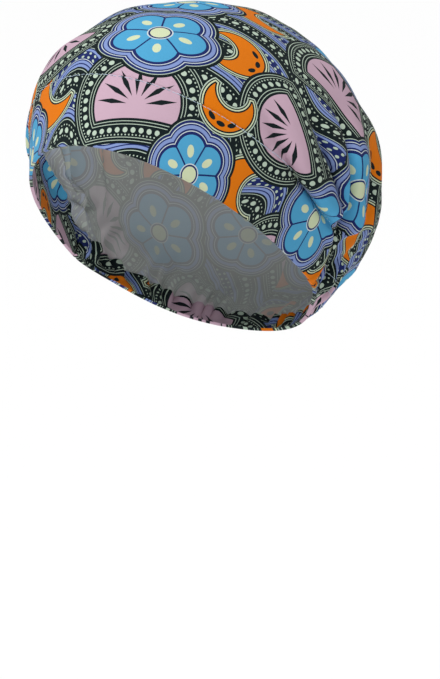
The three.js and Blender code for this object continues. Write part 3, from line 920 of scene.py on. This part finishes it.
def stitch_tree():
    """Geometry Nodes that set stitches along a line, flat on the cloth by the line's outward attribute."""
    tree = bpy.data.node_groups.new("stitches", "GeometryNodeTree")
    tree.interface.new_socket("Line", in_out="INPUT", socket_type="NodeSocketGeometry")
    for name in STITCH:
        tree.interface.new_socket(name, in_out="INPUT", socket_type="NodeSocketFloat")
    tree.interface.new_socket("Stitches", in_out="OUTPUT", socket_type="NodeSocketGeometry")
    line = Signal(tree).node("NodeGroupInput", output="Line")
    pitch, length, thread = (line.beside(name) for name in STITCH)
    curve = line.node("GeometryNodeMeshToCurve", Mesh=line)
    points = line.node("GeometryNodeCurveToPoints", {"mode": "LENGTH"}, Curve=curve, Length=pitch)
    tangent = points.beside("Tangent")
    outward = line.node("GeometryNodeInputNamedAttribute", {"data_type": "FLOAT_VECTOR"}, Name="outward")
    lie = line.node("FunctionNodeAlignRotationToVector", {"axis": "X"}, Vector=tangent)
    upright = {"axis": "Z", "pivot_axis": "X"}
    lie = line.node("FunctionNodeAlignRotationToVector", upright, Rotation=lie, Vector=outward)
    low = thread * -0.7
    start = line.node("ShaderNodeCombineXYZ", X=length * -0.5, Z=low)
    middle = line.node("ShaderNodeCombineXYZ", Z=thread * 2.4)
    end = line.node("ShaderNodeCombineXYZ", X=length * 0.5, Z=low)
    arch = line.node("GeometryNodeCurveQuadraticBezier", Resolution=6, Start=start, Middle=middle, End=end)
    round_thread = line.node("GeometryNodeCurvePrimitiveCircle", Resolution=6, Radius=thread)
    stitch = line.node("GeometryNodeCurveToMesh", Curve=arch, Profile_Curve=round_thread, Fill_Caps=True)
    size = line.node("FunctionNodeRandomValue", {"data_type": "FLOAT"}, output=1, _2=0.9, _3=1.08, Seed=5)
    many = line.node("GeometryNodeInstanceOnPoints", Points=points, Instance=stitch, Rotation=lie, Scale=size)
    real = line.node("GeometryNodeRealizeInstances", Geometry=many)
    smooth = line.node("GeometryNodeSetShadeSmooth", Geometry=real)
    done = line.node("GeometryNodeSetMaterial", Geometry=smooth, Material=thread_material)
    line.node("NodeGroupOutput", Stitches=done)
    return tree


def stitch_line(name, azimuth, height):
    """A line of stitches on the cloth, through an array of places."""
    azimuth, height = np.broadcast_arrays(azimuth, height)
    points = cloth(azimuth, height)
    outward = unit(np.cross(np.gradient(points, axis=0), cloth(azimuth, height + 0.004) - points))
    line = bpy.data.meshes.new(name)
    line.from_pydata((points * MM).tolist(), [(i, i + 1) for i in range(len(points) - 1)], [])
    line.attributes.new("outward", "FLOAT_VECTOR", "POINT").data.foreach_set("vector", outward.ravel())
    path = bpy.data.objects.new(name + "_path", line)
    bpy.context.scene.collection.objects.link(path)
    setter = path.modifiers.new("stitches", "NODES")
    setter.node_group = stitching
    for item in stitching.interface.items_tree:
        if item.name in STITCH:
            setter[item.identifier] = STITCH[item.name]
    graph = bpy.context.evaluated_depsgraph_get()
    mesh = bpy.data.meshes.new_from_object(path.evaluated_get(graph), depsgraph=graph)
    bpy.data.objects.remove(path)
    piece = bpy.data.objects.new(name, mesh)
    bpy.context.scene.collection.objects.link(piece)
    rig.ride(piece, "root")


thread_material = thread_finish()
stitching = stitch_tree()
over_brow = np.linspace(-BAND_LINE_END, BAND_LINE_END, 600)
into_crease = CREASE_RISE * ease((np.abs(over_brow) - RISE_FROM) / RISE_OVER)
stitch_line("band_stitches", over_brow, SEAM - BELOW_EDGE + into_crease)
casing_line_end = FLAP_SIDE + PAST_FLAP
round_nape = np.linspace(casing_line_end, 360 - casing_line_end, 700)
stitch_line("casing_stitches", round_nape, CASING_TOP - BELOW_EDGE)

# ---------------------------------------------------------------- floor and light
# A pale floor well below the cap, a white background, and soft light from the front and above. The background
# is white to the camera and dimmer as a light, so that the cap keeps its shading and no horizon shows.
FLOOR, REACH = -2.2, 30
DAYLIGHT = 0.35
WINDOW_STRENGTH, WINDOW_SPREAD = 2.78, math.radians(28)
WINDOW_FROM = Vector((-0.1, -0.85, 1.35))

corners = [(-REACH, -REACH, FLOOR), (REACH, -REACH, FLOOR), (REACH, REACH, FLOOR), (-REACH, REACH, FLOOR)]
floor_mesh = bpy.data.meshes.new("floor")
floor_mesh.from_pydata(corners, [], [(0, 1, 2, 3)])
floor = bpy.data.objects.new("floor", floor_mesh)
bpy.context.scene.collection.objects.link(floor)
pale = bpy.data.materials.new("pale_floor")
pale.use_nodes = True
pale.node_tree.nodes["Principled BSDF"].inputs["Base Color"].default_value = (0.93, 0.93, 0.93, 1)
pale.node_tree.nodes["Principled BSDF"].inputs["Roughness"].default_value = 0.9
floor_mesh.materials.append(pale)
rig.stage(floor)

world = bpy.data.worlds.new("studio")
world.use_nodes = True
background = world.node_tree.nodes["Background"]
background.inputs["Color"].default_value = (1, 1, 1, 1)
seen = Signal(world.node_tree).node("ShaderNodeLightPath", output="Is Camera Ray")
seen.feed(background.inputs["Strength"], seen * (1 - DAYLIGHT) + DAYLIGHT)
bpy.context.scene.world = world

window = bpy.data.lights.new("window", "SUN")
window.energy = WINDOW_STRENGTH
window.angle = WINDOW_SPREAD
lamp = bpy.data.objects.new("window", window)
lamp.rotation_euler = WINDOW_FROM.to_track_quat("Z", "Y").to_euler()
bpy.context.scene.collection.objects.link(lamp)
bpy.context.scene.view_settings.view_transform = "Standard"

with open("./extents.json", "w") as file:
    json.dump({"cad": [list(v) for v in cad_box], "visual": [list(v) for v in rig.bounds()]}, file)
